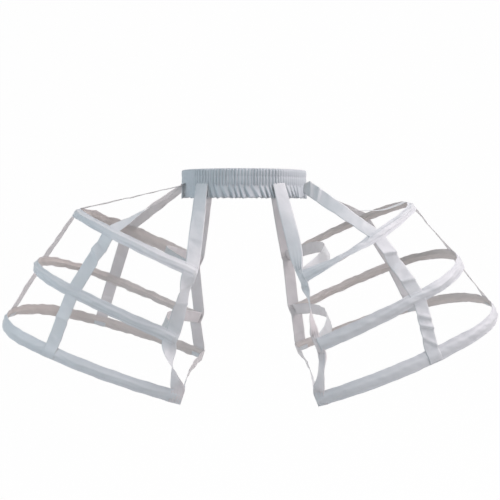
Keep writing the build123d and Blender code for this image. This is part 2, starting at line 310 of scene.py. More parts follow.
thread = plain("polyester_thread_spun", "#EEF0F4", "#D9DCE3", 0.6, 0.7, 0.1)
boning = plain("nylon_boning_extruded", "#E9E8E2", "#DEDDD6", 8.0, 0.35, 0.05)
tip_vinyl = plain("vinyl_tip_dipped", "#F4F4F2", "#EAEAE6", 5.0, 0.25, 0.05)
elastic = plain("elastic_webbing_woven", "#F0F0EE", "#CFCFCC", 1.2, 0.8, 0.4, (1, 1, 0.15))
print("other finishes: thread, boning, tips and elastic")

# %% [markdown]
# ## Where a hoop is
# In its own plane a hoop is a horseshoe: a round nose between two long side arcs. A place on
# it is its distance from the nose, negative towards the front. From that number come a point
# and the ways out, up and along, which every piece that is sewn on the hoop shares.

# %% Hoop lines
def hoop_arcs(level):
    """Nose centre, nose radius, side centre, side radius, side centre across and join angle.
    The side circle touches the nose circle, which gives a quadratic for its centre."""
    bulge, shoulder = SIDE_BULGE[level], SHOULDER[level]
    half_width = HIP_GAP[level] / 2 + bulge
    nose_r = half_width - shoulder
    nose_c = REACH[level] - nose_r
    ratio = shoulder / bulge
    constant = nose_c**2 + shoulder * (half_width + nose_r - bulge)
    root = np.sqrt(4 * nose_c**2 - 4 * (1 - ratio) * constant)
    side_c = (2 * nose_c - root) / (2 * (1 - ratio))
    side_r = (side_c**2 + bulge**2) / (2 * bulge)
    across = half_width - side_r
    return nose_c, nose_r, side_c, side_r, across, np.arctan2(-across, nose_c - side_c)


def from_nose(level, inset):
    """Distance from the nose of a place on the side arc that is inset outward from the hip."""
    _, nose_r, side_c, side_r, _, join = hoop_arcs(level)
    return nose_r * join + side_r * (np.arccos((inset - side_c) / side_r) - join)


def turned(rise, turn, roll):
    """The hoop's own along, across and up directions, for its degrees of rise, turn and roll."""
    rise, turn, roll = np.radians([rise, turn, roll])
    along = np.array([np.cos(rise) * np.cos(turn), np.cos(rise) * np.sin(turn), np.sin(rise)])
    level_across = np.array([-np.sin(turn), np.cos(turn), 0.0])
    level_up = np.cross(along, level_across)
    across = level_across * np.cos(roll) + level_up * np.sin(roll)
    return along, across, level_up * np.cos(roll) - level_across * np.sin(roll)


def on_hoop(side, level, distance, roll=0.0):
    """Point, out, up, forward and curve at distances from the nose. Out and up are the
    casing's, leaned and rolled, forward runs from front to back, and curve is 1 / radius."""
    nose_c, nose_r, side_c, side_r, across, join = hoop_arcs(level)
    s = np.asarray(distance, float)
    on_nose = np.abs(s) <= nose_r * join
    past = np.sign(s) * (join + (np.abs(s) - nose_r * join) / side_r)
    angle = np.where(on_nose, s / nose_r, past)[..., None]
    radius = np.where(on_nose, nose_r, side_r)[..., None]
    centre_x = np.where(on_nose, nose_c, side_c)[..., None]
    centre_y = np.where(on_nose, 0.0, np.sign(s) * across)[..., None]
    u, v, w = turned(*HANG[side, level][3:])
    point = (np.array(HANG[side, level][:3]) + u * (centre_x + radius * np.cos(angle))
             + v * (centre_y + radius * np.sin(angle)))
    normal = u * np.cos(angle) + v * np.sin(angle)
    lean = np.radians(LEAN[level] + np.asarray(roll, float))[..., None]
    out = normal * np.cos(lean) + w * np.sin(lean)
    up = w * np.cos(lean) - normal * np.sin(lean)
    return point, out, up, v * np.cos(angle) - u * np.sin(angle), 1 / radius


def to_side(points, side):
    """Points worked out on the right, or their mirror image for the left."""
    return points * [-1, 1, 1] if side == "left" else points


for level in LEVELS:
    print(level, "hoop, hip to hip:", round(2 * float(from_nose(level, 0.0))), "mm")

# %% [markdown]
# ## The boned casings
# A casing is a tube of satin ribbon, sewn flat along both edges, with a bone in the middle: a
# profile carried along the hoop, which bulges over the bone. Where the ribbon is slack, the
# tube is rounder and less tall, with soft folds along it, and where the bone has twisted, its
# face turns up or down. The seams are tighter than the cloth, so the edges pucker.

# %% Casing surface
CASING_ROW, CASING_COLUMNS = 2.7, 40
# Strength of the puckers in front and behind, and over how far one gives way to the other
PUCKER = {"left": (0.35, 1.05), "right": (0.4, 0.7)}
PUCKER_CHANGE = 160.0
# Wavelength, slant and height of the puckers that draw the edges up and down
PUCKER_WAVES = ((17.0, 3, 0.3), (42.0, 9, 0.9))
# How high the sewn edges ripple in and out, and the slack folds along the tube
EDGE_RIPPLE, SLACK_FOLD = 0.9, 2.2
# Half the height over which the tube bulges, and how much rounder a slack tube is
BULGE_HALF, SLACK_ROUND = 12.5, 0.45
# Height as a share of the flat ribbon's, at nine even places from the front end to the back one
TALLNESS = {
    ("left", "top"): (0.85, 0.8, 0.78, 0.74, 0.8, 0.95, 1.0, 1.0, 0.95),
    ("left", "middle"): (0.85, 0.8, 0.8, 0.76, 0.85, 0.66, 0.8, 0.72, 0.85),
    ("left", "bottom"): (0.92, 0.84, 0.86, 0.95, 0.9, 1.0, 0.92, 0.9, 0.9),
    ("right", "top"): (0.85, 0.62, 0.78, 0.66, 0.8, 0.85, 0.72, 0.66, 0.72),
    ("right", "middle"): (0.95, 0.93, 0.85, 0.8, 1.0, 0.72, 0.8, 0.74, 0.8),
    ("right", "bottom"): (0.95, 0.97, 1.0, 0.95, 0.95, 0.92, 0.9, 0.9, 0.9),
}
# Degrees by which the face is turned up there, beyond the hoop's own lean
ROLL = {
    ("left", "top"): (0, 0, 5, 5, 0, -15, -25, -25, -20),
    ("right", "top"): (5, 48, 10, 12, 5, 0, 0, 0, 0),
    ("right", "middle"): (0, 0, 5, 12, 0, 0, 0, 0, 0),
}


def along_casing(values, side, level, distance):
    """Nine values spread from hip to hip, with a smooth step from each to the next."""
    place = np.clip(4 + 4 * np.asarray(distance, float) / from_nose(level, 0.0), 0, 8)
    before = np.minimum(place.astype(int), 7)
    values = np.array(values[side, level] if (side, level) in values else (0.0,) * 9)
    return values[before] + (values[before + 1] - values[before]) * smooth_step(place - before)


def casing_roll(side, level, distance):
    """Degrees by which a casing rolls beyond its lean, as the bone twists in its tube."""
    seed = sum(map(ord, side + level))
    return 4.0 * wander(distance, 260.0, seed) + along_casing(ROLL, side, level, distance)


def casing_face(side, level, distance, height):
    """How far the casing's face stands out at a height, without its folds: a raised cosine,
    fuller where the tube is less tall, over a thin flat edge."""
    tall = along_casing(TALLNESS, side, level, distance)
    half_thick = CASING_HALF_THICK + SLACK_ROUND * CASING_HALF * (1 - tall)
    bulge = 0.5 + 0.5 * np.cos(np.pi * np.clip(np.abs(height) / (BULGE_HALF * tall), 0, 1))
    return EDGE_HALF_THICK + (half_thick - EDGE_HALF_THICK) * bulge


def casing_at(side, level, distance, round_it):
    """Surface points of a casing. round_it is a turn from 0 to 1: 0 is the top edge, 0.25 the
    outer face, 0.5 the bottom edge and 0.75 the inner face."""
    seed = sum(map(ord, side + level))
    turn = 2 * np.pi * round_it
    share = np.cos(turn)
    back = smooth_step(distance / PUCKER_CHANGE + 0.5)
    front_pucker, back_pucker = PUCKER[side]
    pucker = front_pucker + (back_pucker - front_pucker) * back
    tall = along_casing(TALLNESS, side, level, distance)
    close, slow = (high * (wander(distance + slant * share, wave, seed + number) * pucker)
                   for number, (wave, slant, high) in enumerate(PUCKER_WAVES))
    height = CASING_HALF * share * tall + share * np.abs(share) * (close + slow)
    face = np.sign(np.sin(turn)) * np.abs(np.sin(turn)) ** 0.6
    full = 1 + 0.16 * wander(distance + 1.3 * height, 30.0, seed + 2) * (1 - share**2)
    thick = face * casing_face(side, level, distance, height) * full
    # Folds along the slack cloth, and ripples across its sewn edges
    lengthwise = np.cos(9.0 * turn + 2.2 * wander(distance, 120.0, seed + 4))
    thick = thick + face * SLACK_FOLD * (1.05 - tall) * lengthwise * (1 - share**2)
    ripple = EDGE_RIPPLE * pucker * wander(distance + 2.0, 24.0, seed + 3) * np.abs(share) ** 3
    point, out, up, _, _ = on_hoop(side, level, distance, casing_roll(side, level, distance))
    return point + out * (thick + ripple)[..., None] + up * height[..., None]


def make_casing(side, level):
    """The satin tube of one hoop, from hip to hip, as an open-ended ring of columns."""
    half = from_nose(level, 0.0)
    rows, columns = int(2 * half / CASING_ROW), CASING_COLUMNS
    distance = np.linspace(-half, half, rows)[:, None]
    round_it = (np.arange(columns) / columns)[None, :]
    points = casing_at(side, level, distance, round_it)
    across = 4 * CASING_HALF * np.linspace(0, 1, columns + 1)
    uv = np.stack(np.broadcast_arrays(distance, across), -1)
    name = f"{side}_{level}_satin_casing"
    finishes = (satin_face, satin_reverse, satin_inner_painted_shade, satin_reverse)
    piece = cloth(name, to_side(points, side), uv, finishes, ring=True, flip=side == "left")
    # The half of the tube that faces the body takes the satin tinted as painted shade
    inner = 2 * (np.arange(columns) >= columns // 2)
    piece.data.polygons.foreach_set("material_index", np.tile(inner, rows - 1).astype(np.int32))
    thicken(piece, -1.0)
    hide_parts(f"{side}_{level}_casing")
    return piece


casings = {key: make_casing(*key) for key in HANG}
print("casings:", len(casings))

# %% Bones and tips
BONE_ROW, BONE_SIDES = 5.0, 16
# The power that makes a rounded rectangle of an oval
SQUARED = 0.45
# How full the end rings are: the outer one closes the end and the next rounds its rim
END_FULL, RIM_FULL = 0.02, 0.75


def squared(wave):
    """A cosine or sine drawn out towards a square wave."""
    return np.sign(wave) * np.abs(wave) ** SQUARED


def make_bone(side, level, start, end, name, finish):
    """A flat bone, or a dipped tip, that turns with its casing, its ends closed and rounded."""
    distance = np.linspace(start, end, max(int((end - start) / BONE_ROW), 6))
    distance = np.concatenate([[start, start], distance[1:-1], [end, end]])[:, None]
    full = np.ones_like(distance)
    full[[0, -1]], full[[1, -2]] = END_FULL, RIM_FULL
    turn = 2 * np.pi * (np.arange(BONE_SIDES) / BONE_SIDES)[None, :]
    height = BONE_HALF * full * squared(np.cos(turn))
    thick = BONE_HALF_THICK * full * squared(np.sin(turn))
    point, out, up, _, _ = on_hoop(side, level, distance, casing_roll(side, level, distance))
    points = point + out * thick[..., None] + up * height[..., None]
    uv = np.stack(np.broadcast_arrays(distance, np.linspace(0, 4 * BONE_HALF, BONE_SIDES + 1)), -1)
    return cloth(name, to_side(points, side), uv, [finish], ring=True, flip=side == "left")


for side, level in HANG:
    reach = from_nose(level, BONE_SETBACK)
    bare = from_nose(level, BONE_SETBACK + TIP_LENGTH)
    name = f"{side}_{level}_flat_bone"
    bone = make_bone(side, level, -bare, bare, name, boning)
    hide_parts(f"{side}_{level}_bone")
    for end, start, stop in (("front", -reach, -bare), ("back", bare, reach)):
        tip = make_bone(side, level, start, stop, f"{side}_{level}_{end}_tip", tip_vinyl)
        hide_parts(f"{side}_{level}_bone_tips")
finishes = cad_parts["waist_elastic"].data.materials
finishes.clear()
finishes.append(elastic)
print("bones:", len(HANG))

# %% [markdown]
# ## Ribbons
# Tapes and hip straps are the same 25 mm ribbon: a centre line with a width and a facing
# direction at each place. It is laid along a few stations, spaced evenly and smoothed, so that
# it bends round an edge. A bend vector lets its width follow the round of a hoop.

# %% Ribbon surface
STEP, RIBBON_COLUMNS = 2.5, 13


def resample(stations):
    """Stations of point, width, facing and bend, 12 numbers a row, spaced evenly along the
    points, and each smoothed with its neighbours. Also gives the length at each old station."""
    gaps = np.linalg.norm(np.diff(stations[:, :3], axis=0), axis=1)
    length = np.concatenate([[0.0], np.cumsum(gaps)])
    new = np.linspace(0, length[-1], int(length[-1] / STEP) + 1)
    rows = np.stack([np.interp(new, length, column) for column in stations.T], 1)
    return smoothed(rows, 2), new, length


def unit(vectors):
    """Vectors divided by their own length."""
    return vectors / np.linalg.norm(vectors, axis=-1, keepdims=True)


def ribbon_points(rows, length, shape, twist=0.0, narrow=1.0):
    """Surface of a ribbon. A point is the centre, plus the width direction times the distance
    across, plus the bend times its square, plus the facing times shape(length, across)."""
    line = rows[:, :3]
    forward = unit(np.gradient(line, axis=0))
    across_line = rows[:, 3:6] - forward * (rows[:, 3:6] * forward).sum(1, keepdims=True)
    across_line = unit(across_line)
    facing = np.cross(forward, across_line)
    facing = facing * np.sign((facing * rows[:, 6:9]).sum(1, keepdims=True))
    angle = np.broadcast_to(twist, len(line))[:, None]
    across_line, facing = (across_line * np.cos(angle) + facing * np.sin(angle),
                           facing * np.cos(angle) - across_line * np.sin(angle))
    v = np.linspace(-RIBBON_HALF, RIBBON_HALF, RIBBON_COLUMNS)[None, :]
    narrow = np.broadcast_to(narrow, len(line))[:, None]
    lift = shape(length[:, None], v)
    return (line[:, None] + across_line[:, None] * (v * narrow)[..., None]
            + rows[:, None, 9:12] * (v**2)[..., None] + facing[:, None] * lift[..., None])


def make_ribbon(name, side, points, length, node):
    """A ribbon piece of those surface points: satin face outwards, dull reverse inwards."""
    v = np.linspace(-RIBBON_HALF, RIBBON_HALF, points.shape[1])
    uv = np.stack(np.broadcast_arrays(length[:, None], v[None, :]), -1)
    finishes = (satin_face, satin_reverse)
    piece = cloth(name, to_side(points, side), uv, finishes, flip=side == "right")
    thicken(piece, 0.0)
    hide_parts(node)
    return piece


print("ribbon rows are", STEP, "mm apart")

# %% [markdown]
# ## The tapes
# Each pannier has five tapes. A tape starts under the waistband's lower seam and passes through
# the top and middle casings, between the bone and the outer cloth. It lies over the lowest
# casing and is turned under it. Between casings it is free, so it twists and keeps its creases.

# %% Tape lines
TAPE_RUNS = {"front": -2, "front_side": -1, "side": 0, "back_side": 1, "back": 2}
WAIST_ANGLE = {"left": (0, 18, 51), "right": (0, 18, 58)}
TAPE_LIFT = 0.5
# How far a tape's start is tucked up and in behind the waist seam, and how far out it leaves it
TUCK_UP, TUCK_IN, SEAM_OUT = 4.0, 1.0, 0.3
# Radius of the waist that a tape's start bends round
WAIST_BEND = 110.0
# How far below the lowest casing's edge a tape is folded
FOLD_DROP = 0.7
# How far a free length hangs below its straight line: 0 is the length above the top casing
SAG = {("right", "side", 0): 31.0}


def tape_distance(side, level, run):
    """Distance from the nose at which a tape crosses a hoop: negative for the front ones."""
    if abs(run) == 2:
        inset = RIBBON_HALF - CORNER_TAPE_OVERHANG[side][level]
        return np.sign(run) * from_nose(level, inset)
    return run * SIDE_TAPE_FROM_NOSE[side, level][0 if run < 0 else 1]


def tape_stations(side, run):
    """Rows of point, width, facing and bend from the waist down, and where each casing's rows
    begin and end. At a casing, a row is the hoop's point moved out and up by the profile."""
    turn = np.sign(run) * np.radians(WAIST_ANGLE[side][abs(run)])
    along = unit(np.array([-WAIST_A * np.sin(turn), WAIST_B * np.cos(turn), 0.0]))
    outward = np.cross(along, [0.0, 0.0, 1.0])
    seam = np.array([WAIST_A * np.cos(turn), WAIST_B * np.sin(turn), -BAND_HALF])
    tucked = seam + [0, 0, TUCK_UP] - TUCK_IN * outward
    rows = [np.concatenate([start, along, outward, -outward / (2 * WAIST_BEND)])
            for start in (tucked, seam + SEAM_OUT * outward)]
    spans = []
    for level in LEVELS:
        at = tape_distance(side, level, run)
        point, out, up, forward, curve = on_hoop(side, level, at, casing_roll(side, level, at))
        half = CASING_HALF * float(along_casing(TALLNESS, side, level, at))
        heights = np.linspace(half, -half, 13)
        lift = TAPE_LIFT if level == "bottom" else -EDGE_HALF_THICK
        faces = casing_face(side, level, at, heights) + lift
        slope = np.gradient(faces, heights)
        facing = out - up * slope[:, None]
        if level == "bottom":
            under = np.linspace(-half - FOLD_DROP, -half + TAPE_TURN_UP, 7)
            heights = np.concatenate([heights, under])
            faces = np.concatenate([faces, -casing_face(side, level, at, under) - TAPE_LIFT])
            facing = np.concatenate([facing, np.tile(-out, (len(under), 1))])
        first = len(rows)
        for height, face, way in zip(heights, faces, facing):
            rows.append(np.concatenate([point + out * face + up * height, forward, way,
                                        -out * curve / 2]))
        spans.append((first, len(rows) - 1))
    return np.array(rows), spans


print("tapes in a pannier:", len(TAPE_RUNS))

# %% How each tape twists, bunches and creases
# Degrees by which a free length is twisted at five even places down it: 0 is the length above
# the top casing. The front tapes were sewn on with a half turn in them.
TWISTS = {
    ("left", "front", 1): (0, 45, 35, 10, 0),
    ("left", "front", 2): (0, 50, 98, 130, 180),
    ("left", "front_side", 0): (-15, -35, -35, -20, 0),
    ("right", "front", 1): (0, 72, 92, 112, 180),
    ("right", "front", 2): (0, 60, 65, 55, 0),
    ("right", "front_side", 0): (75, 60, 35, 10, 0),
    ("right", "side", 1): (0, 9, 9, 9, 0),
    ("right", "side", 2): (0, 9, 9, 9, 0),
}
# Where a corner tape is bunched under its stitches: the share of its width that is left
# there, how far it is drawn past the casing's end, and how far along it the bunching reaches
BUNCHED = {
    ("left", "front", "bottom"): (0.8, 2.5, 18.0),
    ("right", "front", "top"): (0.42, 3.0, 30.0),
    ("right", "front", "middle"): (0.5, 0.0, 34.0),
    ("right", "front", "bottom"): (0.6, 6.0, 30.0),
}
FLAT_LAP = (1.0, 0.0, 18.0)
# A bunched tape is drawn aside most this far above the casing's middle, and over this reach
DRAWN_ABOVE, DRAWN_REACH = 10.0, 32.0
# Height, pitch and drift of the folds in a bunched tape, and the share that stays in a casing
BUNCH_HEIGHT, BUNCH_PITCH, BUNCH_DRIFT, PRESSED = 4.0, 6.2, 0.02, 0.1
CREASE_RISE, CREASE_FALL = 9.0, 2.5
# Height and wavelength of the edges' cupping and of the ripple across a free length
CUPPING, TAPE_RIPPLE = (0.6, 60.0), (0.3, 34.0)
# Creases from the packet: share of the free length, slant and height
CREASES = {
    ("right", "front_side", 0): ((0.1, 0.9, 3.0), (0.22, 0.6, 3.5), (0.55, -0.3, 1.5)),
    ("right", "front_side", 1): ((0.25, -0.5, 4.5), (0.47, 0.15, -3.5), (0.78, -0.4, 4.0)),
    ("right", "front_side", 2): ((0.3, -0.5, 3.5), (0.52, -0.4, 4.0), (0.85, -0.8, 3.0)),
    ("left", "front_side", 1): ((0.2, 0.1, -3.2), (0.36, 0.35, 3.8)),
    ("left", "front_side", 2): ((0.45, 0.0, 3.0), (0.8, 0.3, -1.5)),
    ("left", "front", 0): ((0.3, 0.1, 1.0), (0.7, 0.2, 1.0)),
    ("left", "front", 1): ((0.2, -0.6, 2.4), (0.5, 0.0, 3.2)),
}


print("twisted lengths:", len(TWISTS), "creased lengths:", len(CREASES))

# %% Tapes
def twist_and_slack(side, tape, length, free):
    """The twist in radians at each row, and how slack the tape is there, from 0 to 1."""
    twist, slack = np.zeros(len(length)), np.zeros(len(length))
    for number, (start, end) in enumerate(free):
        share = (length - start) / (end - start)
        degrees = TWISTS.get((side, tape, number), (0, 0, 0, 0, 0))
        twist += np.radians(np.interp(share, np.linspace(0, 1, 5), degrees))
        slack += np.sin(np.pi * np.clip(share, 0, 1)) ** 0.5
    return smoothed(twist, 6), slack


def tape_creases(side, tape, free):
    """Place, slant and height of each crease: the tape's own ones, or one at random in each
    free length."""
    draw = np.random.default_rng(sum(map(ord, side + tape)))
    creases = []
    for number, (start, end) in enumerate(free):
        usual = [(draw.uniform(0.2, 0.8), draw.uniform(-0.3, 0.3), draw.uniform(-1.2, 1.2))]
        for share, slant, high in CREASES.get((side, tape, number), usual):
            creases.append((start + (end - start) * share, slant, high))
    return creases


def make_tape(side, tape):
    """One tape. A crease is a ridge across it that rises slowly, exp(distance / rise), and
    falls fast, exp(-distance / fall)."""
    run = TAPE_RUNS[tape]
    seed = sum(map(ord, side + tape))
    stations, spans = tape_stations(side, run)
    rows, length, at_station = resample(stations)
    sewn = [(at_station[first], at_station[last]) for first, last in spans]
    free = list(zip([at_station[1]] + [end for _, end in sewn[:-1]], [start for start, _ in sewn]))
    twist, slack = twist_and_slack(side, tape, length, free)
    for number, (start, end) in enumerate(free):
        share = np.clip((length - start) / (end - start), 0, 1)
        rows[:, 2] -= 4 * SAG.get((side, tape, number), 0.0) * share * (1 - share)
    narrow, loose = np.ones(len(rows)), np.ones(len(rows))
    for level, (start, end) in zip(LEVELS, sewn):
        share, aside, reach = BUNCHED.get((side, tape, level), FLAT_LAP)
        off = length - (start + end) / 2
        narrow -= (1 - share) * np.exp(-((off / reach) ** 2))
        drawn = aside * np.sign(run) * np.exp(-(((off + DRAWN_ABOVE) / DRAWN_REACH) ** 2))
        rows[:, :3] += drawn[:, None] * rows[:, 3:6]
        if level != "bottom":
            loose[(length > start - 3) & (length < end + 3)] = PRESSED
    creases = tape_creases(side, tape, free)

    def shape(l, v):
        cup = CUPPING[0] * wander(l, CUPPING[1], seed) * (v / RIBBON_HALF) ** 2
        ripple = TAPE_RIPPLE[0] * wander(l + 0.8 * v, TAPE_RIPPLE[1], seed + 1)
        out = np.interp(l, length, slack) * (cup + ripple)
        for place, slant, high in creases:
            off = l - place + slant * v
            out += high * np.where(off > 0, np.exp(-off / CREASE_FALL), np.exp(off / CREASE_RISE))
        bunched = (1 - np.interp(l, length, narrow)) * np.interp(l, length, loose)
        folds = 1 + np.cos(2 * np.pi * v / BUNCH_PITCH + BUNCH_DRIFT * l)
        return out + BUNCH_HEIGHT * bunched * folds

    points = ribbon_points(rows, length, shape, twist, narrow)
    name = f"{side}_{tape}_satin_tape"
    return make_ribbon(name, side, points, length, f"{side}_{tape}_tape")


tapes = {(side, tape): make_tape(side, tape) for side in ("left", "right") for tape in TAPE_RUNS}
print("tapes:", len(tapes))

# %% [markdown]
# ## The hip straps
# A hoop is open towards the body. A strap of the same ribbon joins its two ends and bows out
# round the hip. It is an arc between two short flat laps, which are sewn over the casing ends.

# %% Hip straps
# How far inward of the hip a strap lies, and how far its lap goes on past the casing's faces
STRAP_IN = 0.7
LAP_PAST, LAP_OUT = 1.1, 0.6
# The length over which a strap comes free of its lap, and where on it this starts
LAP_FREE, LAP_HELD = 40.0, 0.3
# Height and wavelength of the edges' cupping and of the ripple across a strap
STRAP_CUPPING, STRAP_RIPPLE = (0.8, 80.0), (0.5, 30.0)


def make_strap(side, level):
    """One strap: laps leaned like the casing's ends, and an arc through their starts and the
    top of the bow."""
    lean = np.radians(LEAN[level])
    corner, near = HIP_GAP[level] / 2, -STRAP_IN
    lap_depth = CASING_HALF_THICK + LAP_PAST
    lap_start = corner - lap_depth * np.cos(lean)
    rise = STRAP_BOW[level] - near
    radius = (lap_start**2 + rise**2) / (2 * rise)
    half_turn = np.arctan2(lap_start, radius - rise)
    u, v, w = turned(*HANG[side, level][3:])
    turn = np.linspace(-half_turn, half_turn, 41)[1:-1, None]
    bow = (near + rise - radius * (1 - np.cos(turn))) * u + radius * np.sin(turn) * v
    facing = u * np.cos(turn) + v * np.sin(turn)
    parts = [np.hstack([bow, np.broadcast_to(w, bow.shape), facing])]
    for end in (-1, 1):
        up = w * np.cos(lean) - v * (end * np.sin(lean))
        across = v * (end * np.cos(lean)) + w * np.sin(lean)
        rest = near * u + end * corner * v
        depths = np.array([LAP_OUT, -lap_depth])[:, None]
        lap = np.hstack([rest + depths * across, np.tile(up, (2, 1)), np.tile(u, (2, 1))])
        parts = [lap] + parts if end < 0 else parts + [lap[::-1]]
    stations = np.vstack(parts)
    stations[:, :3] += np.array(HANG[side, level][:3])
    stations = np.hstack([stations, np.zeros((len(stations), 3))])
    rows, length, _ = resample(stations)
    seed = sum(map(ord, side + level)) + 7
    ends = smooth_step(np.minimum(length, length[-1] - length) / LAP_FREE - LAP_HELD)

    def shape(l, v):
        cup = STRAP_CUPPING[0] * wander(l, STRAP_CUPPING[1], seed) * (v / RIBBON_HALF) ** 2
        ripple = STRAP_RIPPLE[0] * wander(l + v, STRAP_RIPPLE[1], seed + 1)
        return np.interp(l, length, ends) * (cup + ripple)

    points = ribbon_points(rows, length, shape)
    name = f"{side}_{level}_satin_strap"
    node = f"{side}_{level}_hip_strap"
    return make_ribbon(name, side, points, length, node)


straps = {key: make_strap(*key) for key in HANG}
print("hip straps:", len(straps))

# %% [markdown]
# ## The waistband
# One strip of satin is folded over a wide elastic and stitched through in three rows: under
# the top fold, along the middle and at the lower seam. Below the seam its two edges flare as a
# frill, and above it the elastic draws the cloth into fine upright gathers. One function gives
# it all, by a place round the waist and one along the strip, from front hem to back hem.

# %% Round the waist
WAIST_STEPS = 1152
oval_turn = np.linspace(0, 2 * np.pi, 20001)
oval_gaps = np.hypot(np.diff(WAIST_A * np.cos(oval_turn)), np.diff(WAIST_B * np.sin(oval_turn)))
oval_length = np.concatenate([[0.0], np.cumsum(oval_gaps)])
WAIST_ROUND = float(oval_length[-1])


def waist_angle(distance):
    """Angle round the oval at a distance from the right-hand side, by its running length."""
    return np.interp(np.mod(distance, WAIST_ROUND), oval_length, oval_turn)


def waist_outward(angle):
    """The way out from the oval of the waist, level and of length 1."""
    return unit(np.stack([np.cos(angle) / WAIST_A, np.sin(angle) / WAIST_B, 0 * angle], -1))


def near_angle(angle, middle, half, soft):
    """1 within half degrees of a middle angle, falling to 0 over the soft degrees."""
    off = np.abs((np.degrees(angle) - middle + 180) % 360 - 180)
    return 1 - smooth_step((off - half) / soft)


print("round the waist:", round(WAIST_ROUND), "mm")

# %% Waistband surface
GATHER_PITCH = 5.6
FRILL_PITCH = 11.0
# How far in from the oval the outer cloth and the lining lie, and how far the frill's layers
# are apart
OUTER_IN, LINING_IN, FRILL_GAP = 1.6, 6.1, 1.1
# Height of the gathers and how much it varies, outside, and the share of it in the lining
GATHER_HEIGHT, GATHER_DRIFT, LINING_GATHER = 1.15, 0.3, 0.35
# Where the band lies flatter, as a middle, a half width and a soft edge in degrees, and the
# share of its gathers that is lost there
FLATTER = ((0, 50.0, 12), (180, 36.0, 8))
FLATTER_LOSS = 0.88
# The frill has small upright gathers on the left, slanted folds in front and loose ones on
# the right: where the first two are, how far the folds lean for their height, and the small
# gathers' height as a share of the others'
FRILL_LEFT, FRILL_FRONT = (195, 35, 6), (272, 48, 8)
FRILL_SLANT, SMALL_SHARE = 0.42, 0.55
# How far the hem opens out, and the height of a fold at the seam and what it gains to the hem
HEM_OUT, FOLD_HEIGHT, FOLD_GAIN = 4.2, 0.7, 2.6
# How much of the strip below the top fold turns in, how far in, and how far it sinks
TOP_SHARE, TOP_IN, TOP_SINK = 0.4, 1.9, 0.7


def waist_wander(angle, count, seed):
    """A wander that closes on itself round the waist: five waves of about count turns."""
    draw = np.random.default_rng(seed)
    turns = np.round(count * draw.uniform(0.6, 1.7, 5))
    return np.sin(angle[..., None] * turns + draw.uniform(0, 2 * np.pi, 5)).sum(-1) / 2.5


def frill_at(angle, turn, depth, flat, z):
    """How far in the frill lies and its height: waves that grow from the seam to the hem."""
    left, front = near_angle(angle, *FRILL_LEFT), near_angle(angle, *FRILL_FRONT)
    folds = turn - FRILL_SLANT * front * FRILL_HEIGHT * depth * 2 * np.pi / WAIST_ROUND
    big = round(WAIST_ROUND / FRILL_PITCH) * folds + 1.3 * waist_wander(turn, 9, 5)
    wave = (1 - left) * np.sin(big + 0.75 * np.sin(big)) + left * SMALL_SHARE * np.sin(2 * big)
    flare = depth * (0.75 + 0.25 * waist_wander(turn, 12, 6))
    opening = HEM_OUT * (1 - 0.8 * np.abs(np.cos(angle)) ** 6)
    high = FOLD_HEIGHT + FOLD_GAIN * flare
    inset = OUTER_IN - opening * depth - wave * high * (1 - 0.35 * flat)
    return inset, z - depth**2 * 0.9 * waist_wander(turn, 40, 7) - depth * 0.8 * np.cos(big)


def band_at(distance, strip):
    """Waistband points. strip runs from 0, the front hem, through 1, the seam, 2, the middle
    row, 3, the top fold, to 5, the seam inside, and 6, the back hem. Between two rows the
    cloth puffs out by a sine, and gathers and frill are waves round the waist."""
    angle = waist_angle(distance)
    turn = 2 * np.pi * distance / WAIST_ROUND
    outside = strip <= 3
    level = np.where(outside, strip, 6 - strip)
    depth = np.clip(1 - level, 0, 1)
    z = np.where(level > 1, -BAND_HALF + BAND_HALF * (level - 1), -BAND_HALF - FRILL_HEIGHT * depth)
    flat = np.maximum(*(near_angle(angle, *place) for place in FLATTER))
    gathered = 1 - FLATTER_LOSS * flat
    puff = np.abs(np.sin(np.pi * np.clip(level - 1, 0, 2))) ** 0.6 * (level > 1)
    phase = round(WAIST_ROUND / GATHER_PITCH) * turn + 1.1 * waist_wander(turn, 14, 3)
    pleat = 2 * np.abs(np.cos(phase / 2)) ** 0.7 - 1
    gather = pleat * (GATHER_HEIGHT + GATHER_DRIFT * waist_wander(turn, 30, 4))
    inset = OUTER_IN - puff * (1 - 0.3 * flat) - gathered * gather * (1.0 - 0.1 * puff)
    frill_inset, z = frill_at(angle, turn, depth, flat, z)
    inset = np.where(depth > 0, frill_inset, inset)
    lining = np.where(level > 1, LINING_IN - LINING_GATHER * gathered * gather, inset + FRILL_GAP)
    inset = np.where(outside, inset, lining)
    top = np.clip(level - (3 - TOP_SHARE), 0, TOP_SHARE) / TOP_SHARE
    inset = inset + np.where(outside, 1.0, -1.0) * TOP_IN * top**3
    z = z - np.where(top > 0, TOP_SINK * top**4, 0)
    oval = np.stack([WAIST_A * np.cos(angle), WAIST_B * np.sin(angle), z], -1)
    return oval - waist_outward(angle) * inset[..., None]


# Rows of the strip from one place to the next, and the last row closes it
STRIP_ROWS = ((0, 1, 10), (1, 2, 9), (2, 3, 11), (3, 5, 5), (5, 6, 4))
# How much longer than the waist the cut strip is in its map, and how wide one of its six parts
CUT_FULLNESS, CUT_PER_STRIP = 1.25, 17.6


def make_band():
    """The folded and gathered strip of the waistband, with its hems free."""
    distance = np.arange(WAIST_STEPS) * WAIST_ROUND / WAIST_STEPS
    parts = [np.linspace(start, end, count, endpoint=False) for start, end, count in STRIP_ROWS]
    strip = np.concatenate(parts + [[6.0]])
    points = band_at(*np.meshgrid(distance, strip))
    cut_round = np.linspace(0, WAIST_ROUND * CUT_FULLNESS, WAIST_STEPS + 1)
    uv = np.stack(np.broadcast_arrays(cut_round[None, :], CUT_PER_STRIP * strip[:, None]), -1)
    # Its satin is tinted darker, as painted shade between the gathers
    piece = cloth("waistband_satin", points, uv, (satin_shirred_painted_shade, satin_reverse), ring=True)
    thicken(piece, -1.0)
    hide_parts("waistband")
    return piece


